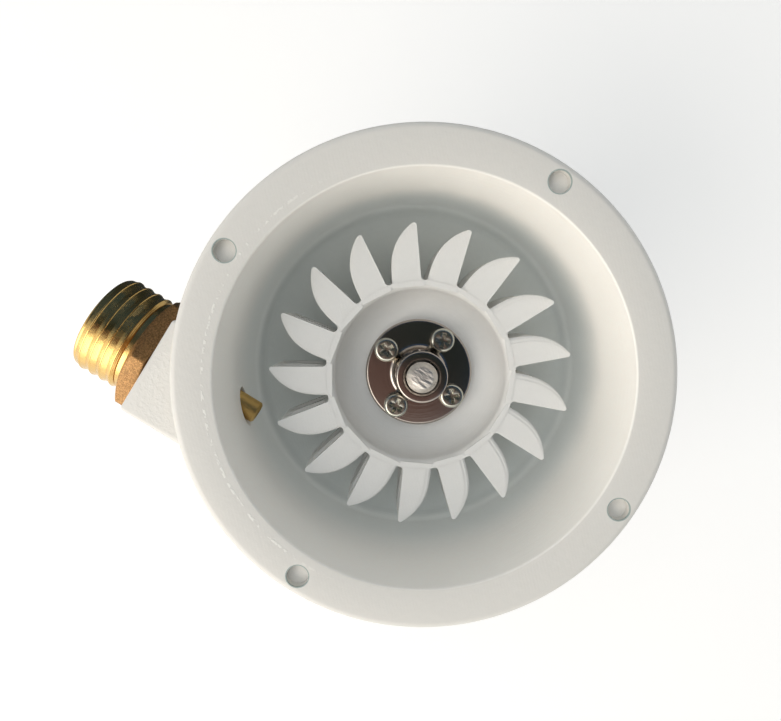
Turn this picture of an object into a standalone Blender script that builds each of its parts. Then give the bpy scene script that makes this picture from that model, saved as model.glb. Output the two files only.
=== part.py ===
"""Small printed impulse-turbine hydro generator, open side up, standing on its generator."""

import math

import bmesh
import bpy
from mathutils import Matrix, Vector

MM = 0.001
GAP = 0.3 * MM
OVERCUT = 1.0 * MM

# Heights, measured up from the generator's rear face
REAR_CAP_TOP = 8.0 * MM
CAN_TOP = 52.0 * MM
FRONT_CAP_TOP = 58.0 * MM
GASKET_THICK = 1.0 * MM
SHELL_BOTTOM = FRONT_CAP_TOP + GASKET_THICK + 2 * GAP
SHELL_FLOOR = 5.2 * MM
CAVITY_DEPTH = 37.6 * MM
FLOOR_Z = SHELL_BOTTOM + SHELL_FLOOR
FACE_Z = FLOOR_Z + CAVITY_DEPTH

# Printed shell
SHELL_R = 45.2 * MM
LIP_R = 37.5 * MM
CAVITY_R = 37.0 * MM
LIP_TAPER_DEPTH = 8.0 * MM
FLOOR_ROUND = 3.0 * MM
SHELL_EDGE = 1.0 * MM
FACE_HOLE_R = 2.0 * MM
FACE_HOLE_RADIUS = 41.8 * MM
FACE_HOLE_START = math.radians(88.6)
FACE_HOLE_DEPTH = 5.5 * MM

# Jet line, parallel to the face and to +X
JET_Y = -25.2 * MM
JET_Z = FACE_Z - 21.0 * MM

# Inlet block on the shell's side
BLOCK_END_X = -45.5 * MM
BLOCK_INNER_X = -20.0 * MM
BLOCK_HALF = 10.0 * MM
BLOCK_TOP = FACE_Z - 8.0 * MM
BLOCK_EDGE = 1.0 * MM
SOCKET_R = 8.3 * MM
SOCKET_END_X = -36.0 * MM
NOZZLE_BORE_R = 2.6 * MM
MOUTH_R = 3.8 * MM
MOUTH_START_X = -33.0 * MM

# Brass inlet fitting
THREAD_R = 10.48 * MM
THREAD_ROOT_R = 9.35 * MM
THREAD_PITCH = 2.24 * MM
THREAD_TURNS = 4
THREAD_RISE = 0.15
CREST_START = 0.65
CREST_END = 0.77
NECK_R = 8.8 * MM
FITTING_END_X = -60.1 * MM
NECK_START_X = -51.0 * MM
HEX_START_X = -49.7 * MM
HEX_FLATS = 22.6 * MM
HEX_CHAMFER_LENGTH = 1.2 * MM
HEX_CHAMFER_DEPTH = 0.4 * MM
FITTING_BORE_R = 6.6 * MM
SPIGOT_R = SOCKET_R - GAP

# Brass nozzle
NOZZLE_END_X = -23.9 * MM
NOZZLE_R = NOZZLE_BORE_R - GAP
NOZZLE_HEAD_LENGTH = 3.0 * MM
NOZZLE_HOLE_R = 1.4 * MM
NOZZLE_THROAT_LENGTH = 5.0 * MM
NOZZLE_EDGE = 0.4 * MM
NOZZLE_WALL = 0.6 * MM

# Runner
RUNNER_HALF_WIDTH = 8.0 * MM
RUNNER_MID_Z = JET_Z
RUNNER_HUB_R = 18.7 * MM
RUNNER_TIP_R = 30.1 * MM
RECESS_R = 17.0 * MM
RECESS_ROUND = 5.5 * MM
RUNNER_BORE_R = 3.3 * MM
BUCKETS = 17
FIRST_TIP_ANGLE = math.radians(39.2)
ROOT_LAG = math.radians(-2.0)
BUCKET_DEPTH = 5.65 * MM
BUCKET_WALL = 1.3 * MM
BUCKET_TIP_THICK = 0.5 * MM
BUCKET_BACK_BOW = 3
BUCKET_BACK_FULLNESS = 0.91
BUCKET_SQUARENESS = 0.5
BUCKET_SECTIONS = (-0.07, 0.3, 0.56, 0.78, 0.92, 1.0)
CUP_SECTIONS = (0.14, 0.5, 0.75, 0.88)
CUP_LEAST_DEPTH = 0.5 * MM
CUP_FLATNESS = 0.7

# Coupling and shaft
COUPLING_FRONT_Z = FACE_Z - 19.4 * MM
COUPLING_THICK = 2.0 * MM
COUPLING_R = 11.0 * MM
COUPLING_EDGE = 0.3 * MM
COUPLING_HUB_R = 5.0 * MM
COUPLING_HUB_LENGTH = 10.0 * MM
COUPLING_HUB_EDGE = 0.4 * MM
COUPLING_FOOT_R = 6.2 * MM
COUPLING_BORE_R = 3.3 * MM
SHAFT_R = 3.0 * MM
SHAFT_PROUD = 1.4 * MM
SHAFT_CHAMFER = 0.7 * MM
SCREW_CIRCLE_R = 8.2 * MM
SCREW_START = math.radians(86.5)
SCREW_HEAD_R = 2.45 * MM
SCREW_HEAD_SIDE = 0.95 * MM
SCREW_HEAD_SHOULDER = (1.95 * MM, 1.45 * MM)
SCREW_HEAD_TOP_R = 1.1 * MM
SCREW_HEAD_H = 1.7 * MM
SCREW_SHANK_R = 1.0 * MM
SCREW_HOLE_R = SCREW_SHANK_R + GAP
SCREW_REACH = 5.0 * MM
CROSS_LENGTH = 2.6 * MM
CROSS_WIDTH = 0.55 * MM
CROSS_DEPTH = 1.0 * MM
CROSS_ANGLES = (math.radians(30), math.radians(120))
GRUB_COUNT = 2
GRUB_R = 1.5 * MM
GRUB_SINK = 0.2 * MM
GRUB_SOCKET_R = 0.75 * MM
GRUB_BELOW_FRONT = 4.0 * MM

# Generator
CAP_R = 25.0 * MM
CAN_R = 24.2 * MM
CAP_CHAMFER = 1.2 * MM
FRONT_WEB = 1.4 * MM
FRONT_HOLE_FLOOR = CAN_TOP + GAP + FRONT_WEB
FRONT_BOSS_R = 9.0 * MM
FRONT_BOSS_TOP = FLOOR_Z + 1.5 * MM
SEAL_R = 7.0 * MM
SEAL_TAPER = 1.0 * MM
SEAL_THICK = 1.6 * MM
GASKET_HOLE_R = 16.0 * MM
MOUNT_SCREW_RADIUS = 12.5 * MM
MOUNT_SCREW_START = math.radians(45)
MOUNT_HEAD_R = 2.7 * MM
MOUNT_HEAD_SIDE = 1.1 * MM
MOUNT_HEAD_TOP_R = 1.6 * MM
MOUNT_HEAD_H = 1.8 * MM
MOUNT_SHANK_R = 1.3 * MM
MOUNT_HOLE_R = MOUNT_SHANK_R + GAP
GLAND_R = 3.6 * MM
GLAND_FLANGE_R = 4.8 * MM
GLAND_FLANGE_THICK = 1.2 * MM
GLAND_NECK_R = 3.0 * MM
GLAND_TIP_R = 2.5 * MM
GLAND_END_Y = 30.0 * MM
GLAND_SEAT_Y = 22.0 * MM
GLAND_FLANGE_Y = 25.2 * MM
GLAND_Z = 30.0 * MM

# How finely round pieces are faceted
SHELL_SEGMENTS = 72
RUNNER_SEGMENTS = 51
CAN_SEGMENTS = 48
COUPLING_SEGMENTS = 40
FITTING_SEGMENTS = 32
SMALL_SEGMENTS = 16


def clear_scene():
    for thing in list(bpy.data.objects):
        bpy.data.objects.remove(thing, do_unlink=True)


def material(name, color, roughness, metallic=0.0):
    found = bpy.data.materials.get(name)
    if found:
        return found
    made = bpy.data.materials.new(name)
    made.use_nodes = True
    shader = made.node_tree.nodes["Principled BSDF"]
    shader.inputs["Base Color"].default_value = (*color, 1.0)
    shader.inputs["Roughness"].default_value = roughness
    shader.inputs["Metallic"].default_value = metallic
    return made


def printed_plastic():
    return material("printed_plastic", (0.72, 0.70, 0.66), 0.5)


def brass():
    return material("brass", (0.74, 0.52, 0.22), 0.25, 1.0)


def bright_steel():
    return material("bright_steel", (0.55, 0.53, 0.51), 0.2, 1.0)


def can_steel():
    return material("can_steel", (0.45, 0.46, 0.48), 0.35, 1.0)


def cap_alloy():
    return material("cap_alloy", (0.62, 0.63, 0.64), 0.4, 1.0)


def black_rubber():
    return material("black_rubber", (0.03, 0.03, 0.03), 0.7)


def mesh_object(name, bm, finish=None, smooth_angle=35.0):
    bmesh.ops.recalc_face_normals(bm, faces=bm.faces)
    mesh = bpy.data.meshes.new(name)
    bm.to_mesh(mesh)
    bm.free()
    mesh.shade_smooth()
    mesh.set_sharp_from_angle(angle=math.radians(smooth_angle))
    thing = bpy.data.objects.new(name, mesh)
    bpy.context.scene.collection.objects.link(thing)
    if finish:
        mesh.materials.append(finish)
    return thing


def turned(name, profile, segments, finish=None):
    """Closed solid of revolution about Z from a closed outline of (radius, height) points."""
    bm = bmesh.new()
    verts = [bm.verts.new((radius, 0.0, height)) for radius, height in profile]
    edges = [bm.edges.new((verts[i - 1], verts[i])) for i in range(len(verts))]
    bmesh.ops.spin(bm, geom=verts + edges, cent=(0, 0, 0), axis=(0, 0, 1),
                   angle=2 * math.pi, steps=segments, use_merge=True)
    bmesh.ops.remove_doubles(bm, verts=bm.verts, dist=1e-6)
    bmesh.ops.dissolve_degenerate(bm, edges=bm.edges, dist=1e-7)
    loose = [face for face in bm.faces if face.calc_area() < 1e-13]
    bmesh.ops.delete(bm, geom=loose, context="FACES")
    return mesh_object(name, bm, finish)


def rounded(corner, before, after, radius, steps=3):
    """Points of a fillet arc that replaces a corner between two other outline points."""
    corner = Vector(corner)
    along_in = (Vector(before) - corner).normalized()
    along_out = (Vector(after) - corner).normalized()
    half = along_in.angle(along_out) / 2
    centre = corner + (along_in + along_out).normalized() * (radius / math.sin(half))
    start = corner + along_in * (radius / math.tan(half)) - centre
    end = corner + along_out * (radius / math.tan(half)) - centre
    turn = start.angle_signed(end)
    points = []
    for step in range(steps + 1):
        arm = Matrix.Rotation(-turn * step / steps, 2) @ start
        points.append(tuple(centre + arm))
    return points


def cut(target, cutter, operation="DIFFERENCE"):
    """Apply one exact Boolean and remove the tool body."""
    modifier = target.modifiers.new("cut", "BOOLEAN")
    modifier.operation = operation
    modifier.solver = "EXACT"
    modifier.object = cutter
    bpy.context.view_layer.update()
    graph = bpy.context.evaluated_depsgraph_get()
    result = bpy.data.meshes.new_from_object(target.evaluated_get(graph))
    target.modifiers.clear()
    old = target.data
    result.name = old.name
    target.data = result
    bpy.data.meshes.remove(old)
    bpy.data.objects.remove(cutter, do_unlink=True)


def rod(name, radius, start, end, segments=SMALL_SEGMENTS):
    """Plain cylinder between two points."""
    start = Vector(start)
    end = Vector(end)
    bm = bmesh.new()
    bmesh.ops.create_cone(bm, cap_ends=True, segments=segments, radius1=radius, radius2=radius,
                          depth=(end - start).length)
    turn = Vector((0, 0, 1)).rotation_difference(end - start).to_matrix().to_4x4()
    bmesh.ops.transform(bm, matrix=Matrix.Translation((start + end) / 2) @ turn, verts=bm.verts)
    return mesh_object(name, bm)


def box(name, size, place):
    """Plain block of a size, set by a matrix."""
    bm = bmesh.new()
    bmesh.ops.create_cube(bm, size=1.0)
    bmesh.ops.scale(bm, vec=size, verts=bm.verts)
    bmesh.ops.transform(bm, matrix=place, verts=bm.verts)
    return mesh_object(name, bm)


def drill(target, radius, start, end, segments=SMALL_SEGMENTS):
    cut(target, rod("drill_tool", radius, start, end, segments))


def on_jet(x):
    return (x, JET_Y, JET_Z)


def along_jet(thing):
    """Turn a body made about Z so that its +Z lies along the jet, on the jet line."""
    turn = Matrix.Translation(on_jet(0)) @ Matrix.Rotation(math.radians(90), 4, "Y")
    thing.data.transform(turn)
    return thing


def ring_points(radius, start, count=4):
    for index in range(count):
        angle = start + index * 2 * math.pi / count
        yield radius * math.cos(angle), radius * math.sin(angle)


def make_shell():
    outline = [(0.0, SHELL_BOTTOM), (SHELL_R - SHELL_EDGE, SHELL_BOTTOM),
               (SHELL_R, SHELL_BOTTOM + SHELL_EDGE), (SHELL_R, FACE_Z - SHELL_EDGE),
               (SHELL_R - SHELL_EDGE, FACE_Z), (0.0, FACE_Z)]
    shell = turned("housing_shell", outline, SHELL_SEGMENTS, printed_plastic())
    cut(shell, make_block(), "UNION")
    cut(shell, make_cavity())
    cut_flow_path(shell)
    for x, y in ring_points(FACE_HOLE_RADIUS, FACE_HOLE_START):
        drill(shell, FACE_HOLE_R, (x, y, FACE_Z - FACE_HOLE_DEPTH), (x, y, FACE_Z + OVERCUT))
    for x, y in ring_points(MOUNT_SCREW_RADIUS, MOUNT_SCREW_START):
        drill(shell, MOUNT_HOLE_R, (x, y, SHELL_BOTTOM - OVERCUT), (x, y, FLOOR_Z + OVERCUT))
    drill(shell, FRONT_BOSS_R + GAP, (0, 0, SHELL_BOTTOM - OVERCUT), (0, 0, FLOOR_Z + OVERCUT),
          CAN_SEGMENTS)
    return shell


def make_block():
    """Block that carries the inlet, with its two outer upright edges rounded."""
    size = (BLOCK_INNER_X - BLOCK_END_X, 2 * BLOCK_HALF, BLOCK_TOP - SHELL_BOTTOM)
    middle = ((BLOCK_INNER_X + BLOCK_END_X) / 2, JET_Y, (BLOCK_TOP + SHELL_BOTTOM) / 2)
    bm = bmesh.new()
    bmesh.ops.create_cube(bm, size=1.0)
    bmesh.ops.scale(bm, vec=size, verts=bm.verts)
    upright = [edge for edge in bm.edges if all(vert.co.x < 0 for vert in edge.verts)
               and abs(edge.verts[0].co.z - edge.verts[1].co.z) > MM]
    bmesh.ops.bevel(bm, geom=upright, offset=BLOCK_EDGE, segments=2, affect="EDGES", profile=0.5)
    bmesh.ops.translate(bm, vec=middle, verts=bm.verts)
    return mesh_object("block_tool", bm)


def make_cavity():
    """Tool body for the round chamber, a little wider at its mouth and rounded at its floor."""
    taper_end = (CAVITY_R, FACE_Z - LIP_TAPER_DEPTH)
    foot = (CAVITY_R, FLOOR_Z)
    centre = (0.0, FLOOR_Z)
    outline = [(0.0, FACE_Z + OVERCUT), (LIP_R, FACE_Z + OVERCUT), (LIP_R, FACE_Z), taper_end]
    outline += rounded(foot, taper_end, centre, FLOOR_ROUND)
    outline += [centre]
    return turned("cavity_tool", outline, SHELL_SEGMENTS)


def cut_flow_path(shell):
    """Fitting socket, nozzle hole and the wider mouth around the nozzle."""
    drill(shell, SOCKET_R, on_jet(BLOCK_END_X - OVERCUT), on_jet(SOCKET_END_X), FITTING_SEGMENTS)
    drill(shell, NOZZLE_BORE_R, on_jet(SOCKET_END_X - OVERCUT), on_jet(BLOCK_INNER_X))
    drill(shell, MOUTH_R, on_jet(MOUTH_START_X), on_jet(BLOCK_INNER_X), 24)


def make_inlet_fitting():
    """Male threaded brass body: thread, neck, hexagon and a spigot inside the block."""
    spigot_end = SOCKET_END_X - NOZZLE_HEAD_LENGTH - 2 * GAP
    spigot_start = HEX_START_X + OVERCUT
    outline = [(FITTING_BORE_R, FITTING_END_X), (THREAD_ROOT_R, FITTING_END_X)]
    for turn in range(THREAD_TURNS):
        start = FITTING_END_X + THREAD_PITCH * turn
        outline.append((THREAD_ROOT_R, start + THREAD_PITCH * THREAD_RISE))
        outline.append((THREAD_R, start + THREAD_PITCH * CREST_START))
        outline.append((THREAD_R, start + THREAD_PITCH * CREST_END))
    outline += [(NECK_R, NECK_START_X), (NECK_R, spigot_start), (SPIGOT_R, spigot_start),
                (SPIGOT_R, spigot_end), (FITTING_BORE_R, spigot_end)]
    fitting = along_jet(turned("inlet_fitting", outline, FITTING_SEGMENTS, brass()))
    cut(fitting, make_hexagon(), "UNION")
    return fitting


def make_hexagon():
    """Hexagon with one corner up, chamfered towards the thread, bored wider than the fitting."""
    seat = BLOCK_END_X - GAP
    across_r = HEX_FLATS / 2
    corner_r = across_r / math.cos(math.radians(30))
    hexagon = rod("hex_tool", corner_r, (HEX_START_X, 0, 0), (seat, 0, 0), 6)
    corner = max((vert.co for vert in hexagon.data.vertices), key=lambda co: co.z)
    turn = math.radians(90) - math.atan2(corner.z, corner.y)
    hexagon.data.transform(Matrix.Translation(on_jet(0)) @ Matrix.Rotation(turn, 4, "X"))

    chamfer_r = across_r - HEX_CHAMFER_DEPTH
    chamfer = [(0.0, HEX_START_X - OVERCUT), (chamfer_r, HEX_START_X - OVERCUT),
               (chamfer_r, HEX_START_X), (corner_r, HEX_START_X + HEX_CHAMFER_LENGTH),
               (corner_r, seat + OVERCUT), (0.0, seat + OVERCUT)]
    cut(hexagon, along_jet(turned("chamfer_tool", chamfer, FITTING_SEGMENTS)), "INTERSECT")
    drill(hexagon, (FITTING_BORE_R + SPIGOT_R) / 2, on_jet(HEX_START_X - OVERCUT),
          on_jet(seat + OVERCUT), FITTING_SEGMENTS)
    return hexagon


def make_nozzle():
    """Brass nozzle: a head behind the fitting and a slim tube that ends at the chamber's wall."""
    head_end = SOCKET_END_X - GAP
    outline = [(FITTING_BORE_R, head_end - NOZZLE_HEAD_LENGTH),
               (SPIGOT_R, head_end - NOZZLE_HEAD_LENGTH), (SPIGOT_R, head_end),
               (NOZZLE_R, head_end), (NOZZLE_R, NOZZLE_END_X - NOZZLE_EDGE),
               (NOZZLE_R - NOZZLE_EDGE, NOZZLE_END_X), (NOZZLE_HOLE_R, NOZZLE_END_X),
               (NOZZLE_HOLE_R, NOZZLE_END_X - NOZZLE_THROAT_LENGTH),
               (NOZZLE_R - NOZZLE_WALL, head_end - OVERCUT)]
    return along_jet(turned("nozzle_tip", outline, 24, brass()))


def make_generator():
    rear = [(0.0, 0.0), (CAP_R - CAP_CHAMFER, 0.0), (CAP_R, CAP_CHAMFER),
            (CAP_R, REAR_CAP_TOP), (0.0, REAR_CAP_TOP)]
    turned("generator_rear_cap", rear, CAN_SEGMENTS, cap_alloy())

    body = [(0.0, REAR_CAP_TOP + GAP), (CAN_R, REAR_CAP_TOP + GAP), (CAN_R, CAN_TOP), (0.0, CAN_TOP)]
    can = turned("generator_can", body, CAN_SEGMENTS, can_steel())
    drill(can, GLAND_R + GAP, (0, GLAND_SEAT_Y - GAP, GLAND_Z), (0, CAP_R + OVERCUT, GLAND_Z))

    make_front_cap()
    inner = FRONT_CAP_TOP + GAP
    outer_r = CAP_R - CAP_CHAMFER
    gasket = [(GASKET_HOLE_R, inner), (outer_r, inner), (outer_r, inner + GASKET_THICK),
              (GASKET_HOLE_R, inner + GASKET_THICK)]
    turned("generator_gasket", gasket, CAN_SEGMENTS, black_rubber())

    seat = FRONT_BOSS_TOP + GAP
    seal = [(SHAFT_R + GAP, seat), (SEAL_R, seat), (SEAL_R - SEAL_TAPER, seat + SEAL_THICK),
            (SHAFT_R + GAP, seat + SEAL_THICK)]
    turned("shaft_seal", seal, FITTING_SEGMENTS, black_rubber())

    make_gland()
    for index, (x, y) in enumerate(ring_points(MOUNT_SCREW_RADIUS, MOUNT_SCREW_START), 1):
        make_mount_screw(index, x, y)


def make_front_cap():
    """Front cap with a boss that passes through the shell's floor, bored for shaft and screws."""
    outline = [(0.0, CAN_TOP + GAP), (CAP_R, CAN_TOP + GAP), (CAP_R, FRONT_CAP_TOP - CAP_CHAMFER),
               (CAP_R - CAP_CHAMFER, FRONT_CAP_TOP), (FRONT_BOSS_R, FRONT_CAP_TOP),
               (FRONT_BOSS_R, FRONT_BOSS_TOP), (SHAFT_R + GAP, FRONT_BOSS_TOP),
               (SHAFT_R + GAP, FRONT_HOLE_FLOOR), (0.0, FRONT_HOLE_FLOOR)]
    cap = turned("generator_front_cap", outline, CAN_SEGMENTS, cap_alloy())
    for x, y in ring_points(MOUNT_SCREW_RADIUS, MOUNT_SCREW_START):
        drill(cap, MOUNT_HOLE_R, (x, y, FRONT_HOLE_FLOOR), (x, y, FRONT_CAP_TOP + OVERCUT))
    return cap


def make_gland():
    """Rubber sleeve on the can's side, where the leads come out."""
    outline = [(0.0, GLAND_SEAT_Y), (GLAND_R, GLAND_SEAT_Y), (GLAND_R, GLAND_FLANGE_Y),
               (GLAND_FLANGE_R, GLAND_FLANGE_Y), (GLAND_FLANGE_R, GLAND_FLANGE_Y + GLAND_FLANGE_THICK),
               (GLAND_NECK_R, GLAND_FLANGE_Y + GLAND_FLANGE_THICK), (GLAND_TIP_R, GLAND_END_Y),
               (0.0, GLAND_END_Y)]
    gland = turned("lead_gland", outline, SMALL_SEGMENTS, black_rubber())
    turn = Matrix.Translation((0, 0, GLAND_Z)) @ Matrix.Rotation(math.radians(-90), 4, "X")
    gland.data.transform(turn)


def make_mount_screw(index, x, y):
    """Round-headed screw down through the shell's floor into the front cap."""
    seat = FLOOR_Z + GAP
    tip = FRONT_HOLE_FLOOR + GAP
    outline = [(0.0, tip), (MOUNT_SHANK_R, tip), (MOUNT_SHANK_R, seat), (MOUNT_HEAD_R, seat),
               (MOUNT_HEAD_R, seat + MOUNT_HEAD_SIDE), (MOUNT_HEAD_TOP_R, seat + MOUNT_HEAD_H),
               (0.0, seat + MOUNT_HEAD_H)]
    screw = turned(f"generator_screw_{index}", outline, SMALL_SEGMENTS, bright_steel())
    screw.location = (x, y, 0)


def bucket_depth(share):
    """Depth of a bucket behind its straight edge, at a share of the way from root to tip."""
    share = max(share, 0.0)
    depth = BUCKET_DEPTH * (1 - share ** BUCKET_BACK_BOW) ** BUCKET_BACK_FULLNESS
    return max(depth, BUCKET_TIP_THICK)


def loft(name, sections):
    """Closed solid through like-numbered section loops, with flat ends."""
    bm = bmesh.new()
    loops = [[bm.verts.new(point) for point in section] for section in sections]
    for lower, upper in zip(loops, loops[1:]):
        for index in range(len(lower)):
            bm.faces.new((lower[index - 1], lower[index], upper[index], upper[index - 1]))
    bm.faces.new(loops[0])
    bm.faces.new(loops[-1])
    bmesh.ops.triangulate(bm, faces=bm.faces)
    return mesh_object(name, bm)


def make_bucket():
    """One double cup: u runs from root to tip, v back from the open side, w across the runner."""
    length = RUNNER_TIP_R - RUNNER_HUB_R
    outer = []
    for share in BUCKET_SECTIONS:
        depth = bucket_depth(share)
        section = []
        for step in range(7):
            angle = math.radians(-90 + 30 * step)
            back = max(math.cos(angle), 0.0) ** BUCKET_SQUARENESS
            across = math.copysign(abs(math.sin(angle)) ** BUCKET_SQUARENESS, math.sin(angle))
            section.append((share * length, depth * back, RUNNER_HALF_WIDTH * across))
        outer.append(section)
    bucket = loft("bucket", outer)
    for side in (-1, 1):
        cut(bucket, make_cup_tool(side, length))
    return bucket


def make_cup_tool(side, length):
    """Tool body for the cup on one side of the bucket's middle splitter."""
    sections = []
    half = (RUNNER_HALF_WIDTH - 1.5 * BUCKET_WALL) / 2
    middle = side * (half + BUCKET_WALL / 2)
    for share in CUP_SECTIONS:
        depth = max(bucket_depth(share) - BUCKET_WALL, CUP_LEAST_DEPTH)
        section = [(share * length, -OVERCUT, middle - half)]
        for step in range(4):
            angle = math.radians(-66 + 44 * step)
            section.append((share * length, depth * math.cos(angle) ** CUP_FLATNESS,
                            middle + half * math.sin(angle)))
        section.append((share * length, -OVERCUT, middle + half))
        sections.append(section)
    return loft("cup_tool", sections)


def make_bucket_ring():
    """All buckets, leaned back a little from the radius and turned into place around Z."""
    bucket = make_bucket()
    root = Vector((RUNNER_HUB_R * math.cos(ROOT_LAG), RUNNER_HUB_R * math.sin(ROOT_LAG), 0))
    lean = math.atan2(-root.y, RUNNER_TIP_R - root.x)
    place = Matrix.Translation((root.x, root.y, RUNNER_MID_Z)) @ Matrix.Rotation(lean, 4, "Z")
    bucket.data.transform(place)
    ring = bmesh.new()
    for index in range(BUCKETS):
        copy = bucket.data.copy()
        copy.transform(Matrix.Rotation(FIRST_TIP_ANGLE + index * 2 * math.pi / BUCKETS, 4, "Z"))
        ring.from_mesh(copy)
        bpy.data.meshes.remove(copy)
    bpy.data.objects.remove(bucket, do_unlink=True)
    return mesh_object("bucket_ring", ring)


def make_runner():
    """Runner: a hub with a round recess in front, and its ring of double buckets."""
    front = RUNNER_MID_Z + RUNNER_HALF_WIDTH
    back = RUNNER_MID_Z - RUNNER_HALF_WIDTH
    seat = COUPLING_FRONT_Z - COUPLING_THICK - GAP
    rim = (RECESS_R, front)
    foot = (RECESS_R, seat)
    outline = [(RUNNER_BORE_R, back), (RUNNER_HUB_R, back), (RUNNER_HUB_R, front), rim]
    outline += rounded(foot, rim, (RUNNER_BORE_R, seat), RECESS_ROUND)
    outline += [(RUNNER_BORE_R, seat)]
    runner = turned("runner", outline, RUNNER_SEGMENTS, printed_plastic())
    cut(runner, make_bucket_ring(), "UNION")
    for x, y in ring_points(SCREW_CIRCLE_R, SCREW_START):
        drill(runner, SCREW_HOLE_R, (x, y, seat - SCREW_REACH), (x, y, seat + OVERCUT))
    return runner


def make_coupling():
    """Rigid flange coupling: round flange, hub with a filleted foot, screws and grub screws."""
    back = COUPLING_FRONT_Z - COUPLING_THICK
    hub_top = COUPLING_FRONT_Z + COUPLING_HUB_LENGTH
    fillet_start = (COUPLING_FOOT_R, COUPLING_FRONT_Z)
    outline = [(COUPLING_BORE_R, back), (COUPLING_R, back),
               (COUPLING_R, COUPLING_FRONT_Z - COUPLING_EDGE),
               (COUPLING_R - COUPLING_EDGE, COUPLING_FRONT_Z)]
    outline += rounded((COUPLING_HUB_R, COUPLING_FRONT_Z), fillet_start, (COUPLING_HUB_R, hub_top),
                       COUPLING_FOOT_R - COUPLING_HUB_R)
    outline += [(COUPLING_HUB_R, hub_top - COUPLING_HUB_EDGE),
                (COUPLING_HUB_R - COUPLING_HUB_EDGE, hub_top), (COUPLING_BORE_R, hub_top)]
    coupling = turned("coupling_flange", outline, COUPLING_SEGMENTS, bright_steel())
    for index, (x, y) in enumerate(ring_points(SCREW_CIRCLE_R, SCREW_START), 1):
        drill(coupling, SCREW_HOLE_R, (x, y, back - OVERCUT), (x, y, COUPLING_FRONT_Z + OVERCUT))
        make_coupling_screw(index, x, y)

    height = Vector((0, 0, hub_top - GRUB_BELOW_FRONT))
    for index in range(GRUB_COUNT):
        angle = SCREW_START + math.radians(45 + 90 * index)
        outward = Vector((math.cos(angle), math.sin(angle), 0))
        drill(coupling, GRUB_R + GAP, outward * (COUPLING_BORE_R - OVERCUT) + height,
              outward * (COUPLING_HUB_R + OVERCUT) + height)
        make_grub(index + 1, outward, height)
    return coupling


def make_grub(index, outward, height):
    start = outward * (SHAFT_R + GAP) + height
    end = outward * (COUPLING_HUB_R - GRUB_SINK) + height
    grub = rod(f"grub_screw_{index}", GRUB_R, start, end)
    grub.data.materials.append(bright_steel())
    drill(grub, GRUB_SOCKET_R, end - outward * OVERCUT, end + outward * OVERCUT, 6)


def make_coupling_screw(index, x, y):
    """Domed screw with a crossed recess, through the flange into the runner."""
    seat = COUPLING_FRONT_Z + GAP
    tip = COUPLING_FRONT_Z - COUPLING_THICK - SCREW_REACH
    top = seat + SCREW_HEAD_H
    shoulder_r, shoulder_h = SCREW_HEAD_SHOULDER
    outline = [(0.0, tip), (SCREW_SHANK_R, tip), (SCREW_SHANK_R, seat), (SCREW_HEAD_R, seat),
               (SCREW_HEAD_R, seat + SCREW_HEAD_SIDE), (shoulder_r, seat + shoulder_h),
               (SCREW_HEAD_TOP_R, top), (0.0, top)]
    screw = turned(f"coupling_screw_{index}", outline, SMALL_SEGMENTS, bright_steel())
    for angle in CROSS_ANGLES:
        place = Matrix.Translation((0, 0, top)) @ Matrix.Rotation(angle, 4, "Z")
        cut(screw, box("slot_tool", (CROSS_LENGTH, CROSS_WIDTH, 2 * CROSS_DEPTH), place))
    screw.location = (x, y, 0)


def make_shaft():
    end = COUPLING_FRONT_Z + COUPLING_HUB_LENGTH + SHAFT_PROUD
    start = FRONT_HOLE_FLOOR + GAP
    outline = [(0.0, start), (SHAFT_R, start), (SHAFT_R, end - SHAFT_CHAMFER),
               (SHAFT_R - SHAFT_CHAMFER, end), (0.0, end)]
    return turned("generator_shaft", outline, 24, bright_steel())


def main():
    clear_scene()
    spin_axis = bpy.data.objects.new("spin_axis", None)
    bpy.context.scene.collection.objects.link(spin_axis)
    make_shell()
    make_inlet_fitting()
    make_nozzle()
    make_generator()
    fixed = set(bpy.data.objects)
    make_runner()
    make_coupling()
    make_shaft()
    for thing in bpy.data.objects:
        if thing not in fixed:
            thing.parent = spin_axis


main()
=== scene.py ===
"""Looks of a small printed hydro generator: shell, runner, coupling, brass inlet and generator."""

import math
from functools import partial

import bpy
from bpy.props import FloatProperty, FloatVectorProperty, IntProperty, PointerProperty
from mathutils import Matrix, Vector


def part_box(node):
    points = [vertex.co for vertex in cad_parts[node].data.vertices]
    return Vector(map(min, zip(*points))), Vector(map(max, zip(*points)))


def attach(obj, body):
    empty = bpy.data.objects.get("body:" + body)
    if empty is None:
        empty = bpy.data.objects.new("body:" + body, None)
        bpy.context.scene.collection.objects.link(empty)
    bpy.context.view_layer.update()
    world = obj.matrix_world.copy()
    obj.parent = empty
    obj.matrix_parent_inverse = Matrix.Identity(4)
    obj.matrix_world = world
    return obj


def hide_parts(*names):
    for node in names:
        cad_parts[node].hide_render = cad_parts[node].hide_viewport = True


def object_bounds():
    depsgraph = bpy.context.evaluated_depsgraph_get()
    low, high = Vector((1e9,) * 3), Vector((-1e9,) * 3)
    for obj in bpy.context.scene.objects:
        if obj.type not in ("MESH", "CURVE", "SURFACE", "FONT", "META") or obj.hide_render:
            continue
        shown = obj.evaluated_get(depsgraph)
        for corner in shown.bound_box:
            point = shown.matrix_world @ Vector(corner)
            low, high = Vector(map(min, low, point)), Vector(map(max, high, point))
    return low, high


bl_info = {
    "name": "Micro hydro generator",
    "version": (1, 0, 0),
    "blender": (4, 5, 0),
    "location": "View3D > Sidebar > Hydro",
    "description": "Models and finishes a printed impulse-turbine generator piece by piece",
    "category": "Add Mesh",
}

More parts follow.
